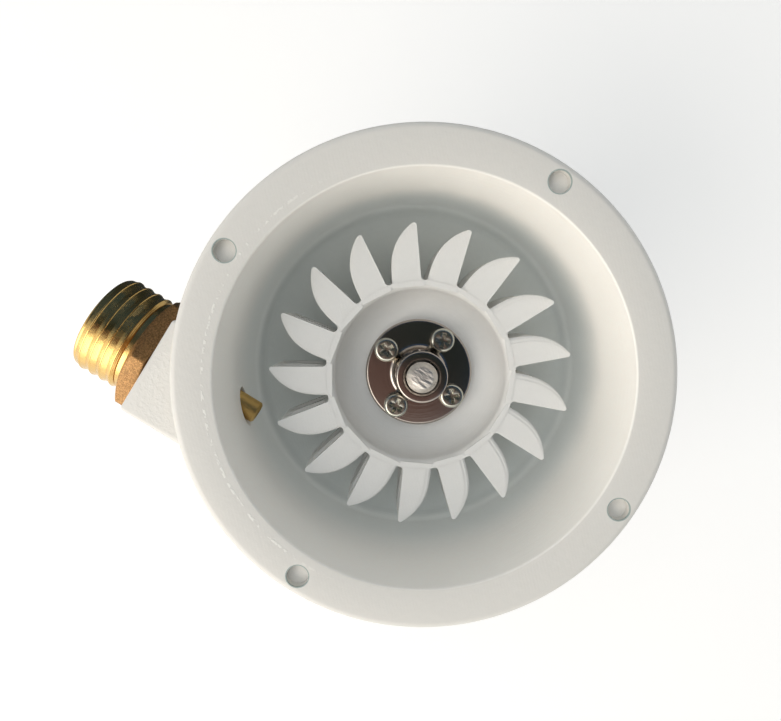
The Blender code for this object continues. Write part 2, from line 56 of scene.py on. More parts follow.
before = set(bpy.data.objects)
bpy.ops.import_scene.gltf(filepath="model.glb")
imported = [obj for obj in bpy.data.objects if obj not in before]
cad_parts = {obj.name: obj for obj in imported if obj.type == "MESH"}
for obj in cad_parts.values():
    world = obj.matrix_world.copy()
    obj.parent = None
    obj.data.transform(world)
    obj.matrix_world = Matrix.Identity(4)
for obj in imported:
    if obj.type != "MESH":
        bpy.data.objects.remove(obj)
CAD_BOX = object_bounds()

MM = 0.001
TURN = 2 * math.pi

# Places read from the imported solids
SHELL_LOW, SHELL_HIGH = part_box("housing_shell")
SHELL_R = SHELL_HIGH.x
FACE_Z = SHELL_HIGH.z
NOZZLE_LOW, NOZZLE_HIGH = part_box("nozzle_tip")
JET_Y = (NOZZLE_LOW.y + NOZZLE_HIGH.y) / 2
JET_Z = (NOZZLE_LOW.z + NOZZLE_HIGH.z) / 2
FITTING_LOW, FITTING_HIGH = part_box("inlet_fitting")
RUNNER_LOW, RUNNER_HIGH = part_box("runner")
COUPLING_LOW, COUPLING_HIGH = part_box("coupling_flange")
SHAFT_LOW, SHAFT_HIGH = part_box("generator_shaft")
CAN_LOW, CAN_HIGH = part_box("generator_can")
REAR_LOW, REAR_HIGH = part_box("generator_rear_cap")
FRONT_LOW, FRONT_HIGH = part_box("generator_front_cap")
GASKET_LOW, GASKET_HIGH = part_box("generator_gasket")
SEAL_LOW, SEAL_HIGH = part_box("shaft_seal")
GLAND_LOW, GLAND_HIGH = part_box("lead_gland")

# Angles about Z, as on the solids
HOLE_START = math.radians(88.6)
FIRST_TIP = math.radians(39.2)
BUCKET_LAG = math.radians(-2.0)
SCREW_START = math.radians(86.5)
GRUB_START = math.radians(131.5)
MOUNT_START = math.radians(45)

# Holes that two pieces share, as on the solids
HOLE_CIRCLE_MM = 41.8
SCREW_CIRCLE = 8.2 * MM
MOUNT_CIRCLE = 12.5 * MM
MOUNT_HOLE = 1.6 * MM
SHAFT_BORE = 3.3 * MM
# The seam between the outer lines and the infill lies 1.7 mm outside the mouth
SEAM_MM = 39.2


def length(label, text, value):
    """A size in metres, given in millimetres, as a property that the sidebar can show."""
    return FloatProperty(name=label, description=text, default=value * MM, unit="LENGTH",
                         precision=5, min=0.0)


def colour(label, text, value):
    """A colour property from an sRGB hex value."""
    return FloatVectorProperty(name=label, description=text, default=hex_colour(value)[:3],
                               subtype="COLOR", size=3, min=0.0, max=1.0)


def hex_colour(value):
    """Linear colour with alpha from an sRGB hex value such as 0xE0DACC."""
    linear = []
    for shift in (16, 8, 0):
        part = ((value >> shift) & 255) / 255
        linear.append(part / 12.92 if part <= 0.04045 else ((part + 0.055) / 1.055) ** 2.4)
    return (*linear, 1.0)


class HydroShell(bpy.types.PropertyGroup):
    lip: length("Mouth radius", "Radius of the open mouth at the face", 37.5)
    chamber: length("Chamber radius", "Radius of the chamber's upright wall", 37.0)
    chamber_depth: length("Chamber depth", "From the face down to the chamber's floor", 37.6)
    taper: length("Taper depth", "How deep the mouth's slight taper reaches", 8.0)
    floor_round: length("Floor round", "Round between the wall and the floor", 3.0)
    rim_round: length("Rim round", "Round on the outer edge of the face", 1.4)
    lip_round: length("Lip round", "Round on the edge of the mouth", 0.4)
    boss_hole: length("Boss hole", "Radius of the hole for the generator's boss", 9.3)
    hole: length("Face hole", "Radius of the four face holes", 2.0)
    hole_circle: length("Hole circle", "Radius on which the face holes lie", HOLE_CIRCLE_MM)
    hole_depth: length("Hole depth", "Depth of the face holes", 1.8)
    block_end: length("Block end", "Distance of the inlet block's end from the axis", 45.5)
    block_half: length("Block half", "Half the width of the inlet block", 10.0)
    block_drop: length("Block drop", "How far the block's top lies below the face", 8.0)
    block_round: length("Block round", "Round on the block's edges", 0.8)
    socket: length("Socket radius", "Radius of the socket for the brass inlet", 8.3)
    socket_end: length("Socket end", "Distance of the socket's end from the axis", 36.0)
    nozzle_hole: length("Nozzle hole", "Radius of the hole for the nozzle", 2.6)
    mouth: length("Nozzle mouth", "Radius of the wider mouth around the nozzle", 3.1)
    mouth_start: length("Mouth start", "Distance of that mouth's foot from the axis", 33.0)


class HydroRunner(bpy.types.PropertyGroup):
    buckets: IntProperty(name="Buckets", description="Number of buckets", default=17, min=3)
    hub: length("Hub radius", "Radius from which the buckets grow", 18.7)
    recess: length("Recess radius", "Radius of the round recess in front", 17.0)
    recess_round: length("Recess round", "Round at the foot of the recess", 5.5)
    bore: length("Bore radius", "Radius of the hole for the shaft", 3.3)
    corner: length("Corner radius", "Radius of the bucket's corner before it is rounded", 30.4)
    depth: length("Bucket depth", "Depth of a bucket behind its straight edge", 5.65)
    wall: length("Bucket wall", "Wall of a cup", 1.3)
    tip_length: length("Tip length", "Length of the straight edge that the rounded tip takes", 1.05)
    root_round: length("Root round", "Round where the straight edge meets the hub", 0.6)
    side_round: length("Side round", "Stepped round between a bucket's side and its back", 1.1)
    layer: length("Layer", "Height of one step on that round", 0.2)


class HydroInlet(bpy.types.PropertyGroup):
    crest: length("Crest radius", "Radius over the thread's crests", 10.48)
    root: length("Root radius", "Radius in the thread's roots", 10.08)
    pitch: length("Pitch", "Distance from crest to crest", 2.24)
    first: length("First crest", "Distance from the fitting's end to the first crest", 1.6)
    neck: length("Neck radius", "Radius of the plain neck", 9.8)
    neck_start: length("Neck start", "Distance from the axis to the end of the thread", 51.0)
    hex_start: length("Hexagon start", "Distance from the axis to the hexagon's front", 49.7)
    hex_end: length("Hexagon end", "Distance from the axis to the hexagon's back", 45.8)
    flats: length("Across flats", "Width of the hexagon across its flats", 22.6)
    bore: length("Bore radius", "Radius of the water way", 6.6)
    spigot: length("Spigot radius", "Radius of the end inside the block", 8.0)
    tip: length("Nozzle radius", "Outer radius of the nozzle's end", 2.3)
    jet: length("Jet radius", "Radius of the nozzle's hole", 1.4)


class HydroCoupling(bpy.types.PropertyGroup):
    thick: length("Flange thickness", "Thickness of the flange", 2.0)
    edge: length("Flange edge", "Round on the flange's front edge", 0.6)
    hub: length("Hub radius", "Radius of the coupling's hub", 5.0)
    foot: length("Foot round", "Round between the flange and the hub", 1.2)
    bore: length("Bore radius", "Radius of the coupling's bore", 3.3)
    shaft: length("Shaft radius", "Radius of the shaft", 3.0)
    shaft_end: length("Shaft end", "Radius of the flat on the end of the shaft", 1.95)
    grub: length("Grub screw", "Radius of a grub screw", 1.5)


class HydroFinish(bpy.types.PropertyGroup):
    shell: colour("Shell", "Printed plastic of the shell", 0xF5F3EE)
    runner: colour("Runner", "Printed plastic of the runner", 0xE1E1DF)
    brass: colour("Brass", "Turned brass", 0xDDB873)
    cast: colour("Cast brass", "Rough cast brass of the hexagon", 0xAD8558)
    nickel: colour("Nickel", "Nickel plate of the coupling", 0xB5ACA4)
    screw: colour("Screw", "Bright zinc plate of the screws", 0xC9C8BC)
    shaft: colour("Shaft", "Ground steel of the shaft", 0xD4CFC8)
    can: colour("Can", "Zinc-plated steel of the generator's can", 0xA9ABAD)
    cap: colour("Cap", "Die-cast alloy of the generator's caps", 0xB4B5B6)
    rubber: colour("Rubber", "Black nitrile rubber", 0x1C1C1E)


def select_only(piece):
    """Leaves edit mode and makes one piece the only one selected."""
    if bpy.context.mode != "OBJECT":
        bpy.ops.object.mode_set(mode="OBJECT")
    bpy.ops.object.select_all(action="DESELECT")
    piece.select_set(True)
    bpy.context.view_layer.objects.active = piece


def add_primitive(operator, name, **settings):
    """Adds a primitive with nothing else selected, under its own name."""
    bpy.ops.object.select_all(action="DESELECT")
    operator(**settings)
    piece = bpy.context.object
    piece.name = name
    piece.data.name = name
    return piece


def fix_place(piece, location=(0, 0, 0), rotation=(0, 0, 0), scale=(1, 1, 1)):
    """Moves a piece and writes the move into its mesh, so that its object stays at the origin."""
    select_only(piece)
    piece.location = location
    piece.rotation_euler = rotation
    piece.scale = scale
    bpy.ops.object.transform_apply(location=True, rotation=True, scale=True)


def close_up(piece):
    """Merges doubles, closes open ends and turns all faces outwards."""
    select_only(piece)
    bpy.ops.object.mode_set(mode="EDIT")
    bpy.ops.mesh.select_all(action="SELECT")
    bpy.ops.mesh.remove_doubles(threshold=1e-6)
    bpy.ops.mesh.dissolve_degenerate(threshold=1e-7)
    bpy.ops.mesh.select_all(action="SELECT")
    bpy.ops.mesh.fill_holes(sides=0)
    bpy.ops.mesh.select_all(action="SELECT")
    bpy.ops.mesh.normals_make_consistent(inside=False)
    bpy.ops.object.mode_set(mode="OBJECT")


def round_edges(piece, width, segments):
    """Bevels every sharp edge of a piece."""
    modifier = piece.modifiers.new("edges", "BEVEL")
    modifier.width = width
    modifier.segments = segments
    select_only(piece)
    bpy.ops.object.modifier_apply(modifier=modifier.name)


def fillet(before, corner, after, radius, steps=6):
    """Points of a round that replaces the corner between two other outline points."""
    corner = Vector(corner)
    back = (Vector(before) - corner).normalized()
    ahead = (Vector(after) - corner).normalized()
    half = back.angle(ahead) / 2
    centre = corner + (back + ahead).normalized() * (radius / math.sin(half))
    start = corner + back * (radius / math.tan(half)) - centre
    end = corner + ahead * (radius / math.tan(half)) - centre
    turn = start.angle_signed(end)
    arms = [Matrix.Rotation(-turn * step / steps, 2) @ start for step in range(steps + 1)]
    return [tuple(centre + arm) for arm in arms]


def lathe(name, outline, steps, ring=False):
    """Draws an outline of (radius, height) points by extruding a vertex, and spins it about Z."""
    piece = add_primitive(bpy.ops.mesh.primitive_plane_add, name, size=MM)
    bpy.ops.object.mode_set(mode="EDIT")
    bpy.ops.mesh.select_all(action="SELECT")
    bpy.ops.mesh.merge(type="CENTER")
    here = Vector((0.0, 0.0, 0.0))
    points = list(outline) + list(outline[:1] if ring else ())
    for index, (radius, height) in enumerate(points):
        there = Vector((radius, 0.0, height))
        if index:
            bpy.ops.mesh.extrude_region_move(TRANSFORM_OT_translate={"value": there - here})
        else:
            bpy.ops.transform.translate(value=there - here)
        here = there
    bpy.ops.mesh.select_all(action="SELECT")
    bpy.ops.mesh.spin(steps=steps, angle=TURN, center=(0, 0, 0), axis=(0, 0, 1))
    close_up(piece)
    return piece


def stack(name, loops):
    """A closed body through equal loops of points, shaped from a grid whose rows are the loops."""
    rows = len(loops) - 1
    columns = len(loops[0])
    piece = add_primitive(bpy.ops.mesh.primitive_grid_add, name, x_subdivisions=rows,
                          y_subdivisions=columns, size=1.0)
    for vertex in piece.data.vertices:
        row = round((vertex.co.x + 0.5) * rows)
        column = round((vertex.co.y + 0.5) * columns) % columns
        vertex.co = loops[row][column]
    close_up(piece)
    return piece


def along_jet(piece):
    """Lays a piece made about Z along the jet's line, its +Z towards +X."""
    fix_place(piece, (0, JET_Y, JET_Z), (0, math.radians(90), 0))
    return piece


def carve(piece, tool, operation="DIFFERENCE"):
    """Applies one Boolean with a tool piece, and removes the tool."""
    modifier = piece.modifiers.new("carve", "BOOLEAN")
    modifier.operation = operation
    modifier.solver = "EXACT"
    modifier.object = tool
    select_only(piece)
    bpy.ops.object.modifier_apply(modifier=modifier.name)
    bpy.data.objects.remove(tool, do_unlink=True)


def cylinder(radius, start, end, vertices=48):
    """A round tool between two points."""
    start = Vector(start)
    end = Vector(end)
    tool = add_primitive(bpy.ops.mesh.primitive_cylinder_add, "round_tool", radius=radius,
                         depth=(end - start).length, vertices=vertices)
    turn = (end - start).to_track_quat("Z", "Y").to_euler()
    fix_place(tool, (start + end) / 2, turn)
    return tool


def dress(piece, finish, slot, body, *nodes, angle=30):
    """Smooths a finished piece up to an angle, gives it its material, hangs it under its body and hides
    the nodes it replaces. The slot is not used.
    """
    select_only(piece)
    bpy.ops.object.shade_smooth_by_angle(angle=math.radians(angle))
    piece.data.materials.clear()
    piece.data.materials.append(finish)
    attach(piece, body)
    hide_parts(*nodes)


def ring_places(radius, start, count=4):
    """Points around Z at one radius."""
    for index in range(count):
        angle = start + TURN * index / count
        yield radius * math.cos(angle), radius * math.sin(angle)


def add_node(tree, kind, inputs=(), out=0, **settings):
    """Adds a shader node, fills or links its inputs in order or by name, and returns one output."""
    made = tree.nodes.new("ShaderNode" + kind)
    for key, value in settings.items():
        setattr(made, key, value)
    for key, value in inputs.items() if isinstance(inputs, dict) else enumerate(inputs):
        if isinstance(value, bpy.types.NodeSocket):
            tree.links.new(value, made.inputs[key])
        else:
            made.inputs[key].default_value = value
    return made.outputs[out]


def link(output, socket):
    """Links a node's output to a socket of the same tree."""
    socket.id_data.links.new(output, socket)


# Settings that many nodes share. A SOFT map range goes smoothly from one number to another.
SOFT = {"interpolation_type": "SMOOTHSTEP"}
DOT = {"operation": "DOT_PRODUCT", "out": "Value"}
MIXED = {"data_type": "RGBA", "out": 2}
DARKENED = {"data_type": "RGBA", "blend_type": "MULTIPLY", "out": 2}


def new_material(name, base, roughness, metallic=0.0):
    """A material, what adds its nodes, its shader, and object coordinates in millimetres."""
    found = bpy.data.materials.new(name)
    found.use_nodes = True
    add = partial(add_node, found.node_tree)
    shader = found.node_tree.nodes["Principled BSDF"]
    shader.inputs["Base Color"].default_value = (*base[:3], 1.0)
    shader.inputs["Roughness"].default_value = roughness
    shader.inputs["Metallic"].default_value = metallic
    found.diffuse_color = (*base[:3], 1.0)
    place = {0: add("TexCoord", out="Object"), "Scale": 1 / MM}
    return found, add, shader, add("VectorMath", place, operation="SCALE")


def sum_of(add, *parts):
    """Adds up (value, weight) pairs."""
    total = 0.0
    for value, weight in parts:
        total = add("Math", (value, weight, total), operation="MULTIPLY_ADD")
    return total


def product(add, *parts):
    """Multiplies values with one another."""
    total = parts[0]
    for part in parts[1:]:
        total = add("Math", (total, part), operation="MULTIPLY")
    return total


def line_at(add, value, centre, full, gone):
    """1 where a value lies within one distance of a centre, fading to 0 at another."""
    off = add("Math", (value, centre), operation="SUBTRACT")
    off = add("Math", (off,), operation="ABSOLUTE")
    return add("MapRange", (off, full, gone, 1.0, 0.0), **SOFT)


def from_axis(add, place):
    """A place laid flat, and its distance from the Z axis."""
    flat = add("VectorMath", (place, (1, 1, 0)), operation="MULTIPLY")
    return flat, add("VectorMath", (flat,), operation="LENGTH", out="Value")


def surface(add, shader, relief, depth_mm, strength, base, spread, factor):
    """Gives a shader its relief, and a colour that varies by a share with a factor from 0 to 1."""
    raised = {"Height": relief, "Distance": depth_mm * MM, "Strength": strength}
    link(add("Bump", raised), shader.inputs["Normal"])
    dark = [part * (1 - spread) for part in base[:3]]
    light = [min(part * (1 + spread), 1.0) for part in base[:3]]
    skin = add("Mix", {"Factor": factor, 6: (*dark, 1.0), 7: (*light, 1.0)}, **MIXED)
    link(skin, shader.inputs["Base Color"])
    return skin


def printed_pla(name, base, roughness, is_shell=False):
    """White PLA laid down by a 0.4 mm nozzle in 0.2 mm layers: satin, with stacked lines."""
    found, add, shader, place = new_material(name, base, roughness)
    shader.inputs["Subsurface Weight"].default_value = 0.15
    shader.inputs["Subsurface Scale"].default_value = 1.0
    shader.inputs["Subsurface Radius"].default_value = (0.0012, 0.0011, 0.001)
    axes = add("SeparateXYZ", (place,)).node.outputs
    facing = add("SeparateXYZ", (add("NewGeometry", out="Normal"),), out="Z")
    level = add("MapRange", (facing, 0.985, 0.997), **SOFT)
    # Layers are 0.2 mm, which is under a pixel, so they are drawn as 0.3 mm
    stacked = add("Math", (product(add, axes["Z"], TURN / 0.3),), operation="SINE")
    # Each layer came out a little wider or narrower than the next
    layered = add("Mapping", {"Vector": place, "Scale": (0.02, 0.02, 1.0)})
    uneven = add("TexNoise", {"Vector": layered, "Scale": 2.2})
    # Top skin: 0.42 mm lines at 45 degrees, drawn 0.6 mm apart so that they show
    across = sum_of(add, (axes["X"], 1.0), (axes["Y"], 1.0))
    across = product(add, across, TURN / (0.6 * math.sqrt(2)))
    lines = add("Math", (across,), operation="SINE")
    grain = add("TexNoise", {"Vector": place, "Scale": 0.9, "Detail": 5.0, "Roughness": 0.65})
    patches = add("TexNoise", {"Vector": place, "Scale": 0.12})
    walls = sum_of(add, (stacked, 0.12), (uneven, 1.2), (grain, 0.5))
    tops = sum_of(add, (product(add, lines, patches), 0.1), (grain, 1.4))
    if is_shell:
        raised, beads, edge = shell_marks(add, place, axes["Z"])
        tops = sum_of(add, (tops, 1.0), (raised, 1.0))
    relief = add("Mix", {"Factor": level, 2: walls, 3: tops}, data_type="FLOAT")
    skin = surface(add, shader, relief, 0.05, 0.6, base, 0.03, grain)
    if is_shell:
        # The beads are real relief; their lighter colour further on is a painted highlight
        beads = product(add, beads, level, 0.7)
        shell_painted_light(add, shader, skin, from_axis(add, place)[1], axes["Z"], facing, beads, edge)
    return found


def shell_marks(add, place, height):
    """Marks of the print on the shell: beads along the mouth, a rough block top, and painted shade
    along the hole edges.
    """
    flat, radius = from_axis(add, place)
    # Beads sit on the seam between the outer lines and the infill, on the inlet's side
    seam = line_at(add, radius, SEAM_MM, 0.1, 0.35)
    side = add("VectorMath", (flat, (-0.85, -0.53, 0)), **DOT)
    side = add("MapRange", (side, 12.0, 30.0), **SOFT)
    spots = add("TexNoise", {"Vector": place, "Scale": 1.1, "Detail": 1.0})
    beads = product(add, seam, side, add("MapRange", (spots, 0.5, 0.62), **SOFT))
    # Blobs about 0.7 mm wide on the block's top, which was printed as a bridge
    outside = add("MapRange", (radius, 45.4, 46.0), **SOFT)
    blobs = add("TexNoise", {"Vector": place, "Scale": 1.5})
    blobs = product(add, outside, add("MapRange", (blobs, 0.4, 0.7), **SOFT))
    # Painted shade along the rim of the four face holes, folded into one corner of the face
    turned = {"Vector": flat, "Rotation": (0, 0, math.radians(45) - HOLE_START)}
    folded = add("VectorMath", (add("Mapping", turned),), operation="ABSOLUTE")
    corner = HOLE_CIRCLE_MM / math.sqrt(2)
    from_hole = add("VectorMath", (folded, (corner, corner, 0)), operation="DISTANCE", out="Value")
    top = FACE_Z / MM
    near_face = add("MapRange", (height, top - 0.4, top - 0.2), **SOFT)
    # Mask of that painted shade, only just below the face
    edge = product(add, line_at(add, from_hole, 2.05, 0.05, 0.2), near_face)
    return sum_of(add, (beads, 1.1), (blobs, 1.2)), beads, edge


def shell_painted_light(add, shader, skin, radius, height, facing, beads, edge):
    """Painted light and shade on the shell: the outside darkened, a cool shade deep in the chamber, a
    highlight on the beads, shade at the hole rims, and a faint glow on the chamber's walls.
    """
    # Painted shade: the face and everything outside the mouth are darkened
    outside = add("MapRange", (radius, 37.6, 37.9), **SOFT)
    inside = add("MapRange", (radius, 37.3, 38.0, 1.0, 0.0), **SOFT)
    # Painted cool shade deep in the chamber
    deep = add("MapRange", (height, 72.0, 88.0, 1.0, 0.0), **SOFT)
    # Painted shade on the outside, deep in the chamber and at the hole rims; painted highlight on the
    # beads
    tones = ((outside, 0xEBEBEB, DARKENED), (product(add, inside, deep), 0xECF3F7, DARKENED),
             (beads, 0xF7F6F1, MIXED), (edge, 0xB3C5C5, DARKENED))
    for factor, tone, settings in tones:
        skin = add("Mix", {"Factor": factor, 6: skin, 7: hex_colour(tone)}, **settings)
    link(skin, shader.inputs["Base Color"])
    # Painted light: the chamber's upright walls above the floor glow faintly
    upright = add("MapRange", (facing, 0.5, 0.9, 1.0, 0.0), **SOFT)
    above_floor = add("MapRange", (height, 63.0, 64.5), **SOFT)
    shader.inputs["Emission Color"].default_value = hex_colour(0xF6F4EC)
    link(product(add, inside, upright, above_floor, 0.09), shader.inputs["Emission Strength"])


def turned_brass(name, base, shine=0.14):
    """Bar brass, free cutting: yellow, machine turned, with fine rings around the jet's line."""
    found, add, shader, place = new_material(name, base, 0.2, 1.0)
    along = add("SeparateXYZ", (place,), out="X")
    # Feed marks are about 0.1 mm apart, drawn as 0.25 mm
    rings = add("Math", (product(add, along, TURN / 0.25),), operation="SINE")
    stain = add("TexNoise", {"Vector": place, "Scale": 0.35, "Detail": 4.0})
    dulled = add("MapRange", (stain, 0.3, 0.7, shine, shine + 0.16), **SOFT)
    link(dulled, shader.inputs["Roughness"])
    dents = add("TexNoise", {"Vector": place, "Scale": 1.6, "Detail": 3.0})
    relief = sum_of(add, (rings, 1.0), (dents, 6.0))
    surface(add, shader, relief, 0.008, 0.6, base, 0.14, stain)
    return found


def cast_brass(name, base):
    """Forged and tumbled brass: brown-gold, pitted by grit of about 0.3 mm."""
    found, add, shader, place = new_material(name, base, 0.4, 1.0)
    grit = add("TexNoise", {"Vector": place, "Scale": 3.0, "Detail": 4.0, "Roughness": 0.7})
    speck = add("MapRange", (grit, 0.38, 0.66), **SOFT)
    surface(add, shader, grit, 0.28, 0.8, base, 0.35, speck)
    return found


def turned_steel(name, base, roughness, spacing, depth):
    """Plated steel turned in a lathe: bright, with fine rings around Z."""
    found, add, shader, place = new_material(name, base, roughness, 1.0)
    rings = {"W": from_axis(add, place)[1], "Scale": 1 / spacing}
    rings = add("TexNoise", rings, noise_dimensions="1D")
    stain = add("TexNoise", {"Vector": place, "Scale": 0.5, "Detail": 3.0})
    relief = sum_of(add, (rings, 1.0), (stain, 1.5))
    surface(add, shader, relief, depth, 0.6, base, 0.1, stain)
    return found


def sawn_steel(name, base):
    """Ground silver steel whose end was cut and filed: soft shine with short scratches."""
    found, add, shader, place = new_material(name, base, 0.5, 1.0)
    drawn = {"Vector": place, "Rotation": (0, 0, 1.0), "Scale": (0.5, 1.6, 0.5)}
    drawn = add("Mapping", drawn)
    scratch = add("TexNoise", {"Vector": drawn, "Scale": 0.8, "Detail": 3.0})
    surface(add, shader, scratch, 0.3, 0.9, base, 0.2, scratch)
    return found


def plated_tube(name, base):
    """Zinc-plated rolled steel: satin grey, with drawing lines along the tube."""
    found, add, shader, place = new_material(name, base, 0.45, 1.0)
    drawn = add("Mapping", {"Vector": place, "Scale": (1.0, 1.0, 0.03)})
    lines = add("TexNoise", {"Vector": drawn, "Scale": 1.6, "Detail": 4.0})
    surface(add, shader, lines, 0.03, 0.5, base, 0.07, lines)
    return found


def die_cast_alloy(name, base):
    """Die-cast aluminium, shot-blasted: matt silver grey with a fine 0.2 mm grain."""
    found, add, shader, place = new_material(name, base, 0.5, 1.0)
    grain = add("TexNoise", {"Vector": place, "Scale": 3.0, "Detail": 3.0})
    surface(add, shader, grain, 0.05, 0.6, base, 0.06, grain)
    return found


def nitrile_rubber(name, base):
    """Black nitrile rubber: matt, faintly mottled by talc."""
    found, add, shader, place = new_material(name, base, 0.7)
    mottle = add("TexNoise", {"Vector": place, "Scale": 1.4, "Detail": 5.0})
    surface(add, shader, mottle, 0.04, 0.6, base, 0.25, mottle)
    return found


def make_block(sizes):
    """The inlet block: a box with rounded edges, trimmed to end inside the ring's wall."""
    top = FACE_Z - sizes.block_drop
    inner = -20 * MM
    size = (inner + sizes.block_end, 2 * sizes.block_half, top - SHELL_LOW.z)
    block = add_primitive(bpy.ops.mesh.primitive_cube_add, "block_tool", size=1.0)
    fix_place(block, ((inner - sizes.block_end) / 2, JET_Y, (top + SHELL_LOW.z) / 2), scale=size)
    round_edges(block, sizes.block_round, 4)
    inside = sizes.chamber + 3 * MM
    carve(block, cylinder(inside, (0, 0, SHELL_LOW.z - MM), (0, 0, FACE_Z), 96))
    return block


def make_shell(sizes):
    """Shell with its tapered mouth, inlet block, nozzle hole, face holes and screw holes."""
    low = SHELL_LOW.z
    floor = FACE_Z - sizes.chamber_depth
    foot = (sizes.chamber, floor)
    taper = (sizes.chamber, FACE_Z - sizes.taper)
    lip = (sizes.lip, FACE_Z)
    outer_low = (SHELL_R, low)
    outer_high = (SHELL_R, FACE_Z)
    start = (sizes.boss_hole, low)
    outline = [start, *fillet(start, outer_low, outer_high, MM),
               *fillet(outer_low, outer_high, lip, sizes.rim_round, 8),
               *fillet(outer_high, lip, taper, sizes.lip_round, 4), taper,
               *fillet(taper, foot, (0.0, floor), sizes.floor_round),
               (sizes.boss_hole, floor)]
    shell = lathe("printed_shell", outline, 192, ring=True)
    carve(shell, make_block(sizes), "UNION")

    def jet_tool(radius, start_x, end_x, vertices=64):
        return cylinder(radius, (-start_x, JET_Y, JET_Z), (-end_x, JET_Y, JET_Z), vertices)

    carve(shell, jet_tool(sizes.socket, sizes.block_end + MM, sizes.socket_end))
    carve(shell, jet_tool(sizes.nozzle_hole, sizes.socket_end + MM, 20 * MM, 32))
    carve(shell, jet_tool(sizes.mouth, sizes.mouth_start, 20 * MM))
    for x, y in ring_places(sizes.hole_circle, HOLE_START):
        carve(shell, cylinder(sizes.hole, (x, y, FACE_Z - sizes.hole_depth), (x, y, FACE_Z + MM)))
    for x, y in ring_places(MOUNT_CIRCLE, MOUNT_START):
        carve(shell, cylinder(MOUNT_HOLE, (x, y, low - MM), (x, y, floor + MM), 24))
    return shell


def bucket_back(sizes, share):
    """How far behind the straight edge a bucket's back lies, at a share of its length."""
    return sizes.depth * (1 - max(share, 0.0) ** 3) ** 0.91


def bucket_outline(sizes, inset):
    """A bucket seen along the axis: straight edge, rounded tip and bowed back, drawn in by an inset."""
    reach = sizes.corner - sizes.hub
    root = -1.2 * MM
    back = []
    for step in range(13):
        share = 0.9 - 0.85 * step / 12
        full = bucket_back(sizes, share)
        back.append((share * reach, full - inset * math.sqrt(full / sizes.depth)))
    top = sizes.depth - inset
    points = [(root, -sizes.root_round)]
    points += fillet((0, -sizes.depth), (0, 0), (reach, 0), sizes.root_round, 4)
    tip_angle = math.atan2(back[0][1], reach - back[0][0])
    tip_round = sizes.tip_length * math.tan(tip_angle / 2)
    points += fillet((0, 0), (reach, 0), back[0], tip_round, 8)
    points += back
    sunk = -0.35 * MM
    points += fillet((MM, top), (sunk, top), (sunk, top + MM), 0.4 * MM, 3)
    points.append((root, sizes.depth + 0.4 * MM))
    return points


def make_bucket(sizes):
    """One double cup, its length along +X, its open side towards -Y, its width along Z."""
    half = (RUNNER_HIGH.z - RUNNER_LOW.z) / 2
    side_round = sizes.side_round
    steps = []
    for count in range(5):
        fallen = count * sizes.layer
        inset = side_round - math.sqrt(side_round ** 2 - (side_round - fallen) ** 2)
        steps.append((half - fallen, inset))
    levels = []
    for number, (height, inset) in enumerate(steps):
        if number:
            levels.append((height, steps[number - 1][1]))
        levels.append((height, inset))
    levels[-1] = (height, 0.0)
    levels += [(-height, inset) for height, inset in reversed(levels)]
    loops = [[(x, y, height) for x, y in bucket_outline(sizes, inset)] for height, inset in levels]
    bucket = stack("bucket", loops)
    reach = sizes.corner - sizes.hub
    for side in (-1, 1):
        carve(bucket, make_cup(sizes, side, reach, half))
    return bucket


def make_cup(sizes, side, reach, half_width):
    """Tool for one cup: a ball squeezed to follow the bucket's back at an even wall."""
    cup = add_primitive(bpy.ops.mesh.primitive_uv_sphere_add, "cup_tool", segments=40,
                        ring_count=20, radius=1.0)
    half = (half_width - 1.5 * sizes.wall) / 2
    for vertex in cup.data.vertices:
        share = 0.49 + 0.37 * vertex.co.x
        depth = max(bucket_back(sizes, share) - sizes.wall, 0.3 * MM)
        across = side * (half + sizes.wall / 2) + half * vertex.co.z
        vertex.co = (share * reach, depth * vertex.co.y - 0.07 * MM, across)
    return cup


def make_runner(sizes):
    """Hub with its recess, and the ring of buckets grown out of it."""
    front = RUNNER_HIGH.z
    back = RUNNER_LOW.z
    seat = COUPLING_LOW.z - 0.3 * MM
    rim_in = (sizes.recess, front)
    rim_out = (sizes.hub, front)
    foot = (sizes.recess, seat)
    back_out = (sizes.hub, back)
    outline = [(sizes.bore, back), *fillet((sizes.bore, back), back_out, rim_out, 0.3 * MM, 3),
               rim_out, *fillet(rim_out, rim_in, foot, 1.6 * MM, 9),
               *fillet(rim_in, foot, (sizes.bore, seat), sizes.recess_round, 10),
               (sizes.bore, seat)]
    runner = lathe("printed_runner", outline, 136, ring=True)
    bucket = make_bucket(sizes)
    root = Vector((sizes.hub * math.cos(BUCKET_LAG), sizes.hub * math.sin(BUCKET_LAG), 0))
    lean = math.atan2(-root.y, sizes.corner - root.x)
    fix_place(bucket, (root.x, root.y, (front + back) / 2), (0, 0, lean))
    for index in range(sizes.buckets):
        copy = bucket.copy()
        copy.data = bucket.data.copy()
        bpy.context.scene.collection.objects.link(copy)
        fix_place(copy, rotation=(0, 0, FIRST_TIP + TURN * index / sizes.buckets))
        carve(runner, copy, "UNION")
    bpy.data.objects.remove(bucket, do_unlink=True)
    for x, y in ring_places(SCREW_CIRCLE, SCREW_START):
        carve(runner, cylinder(1.3 * MM, (x, y, seat - 5 * MM), (x, y, seat + MM), 24))
    return runner


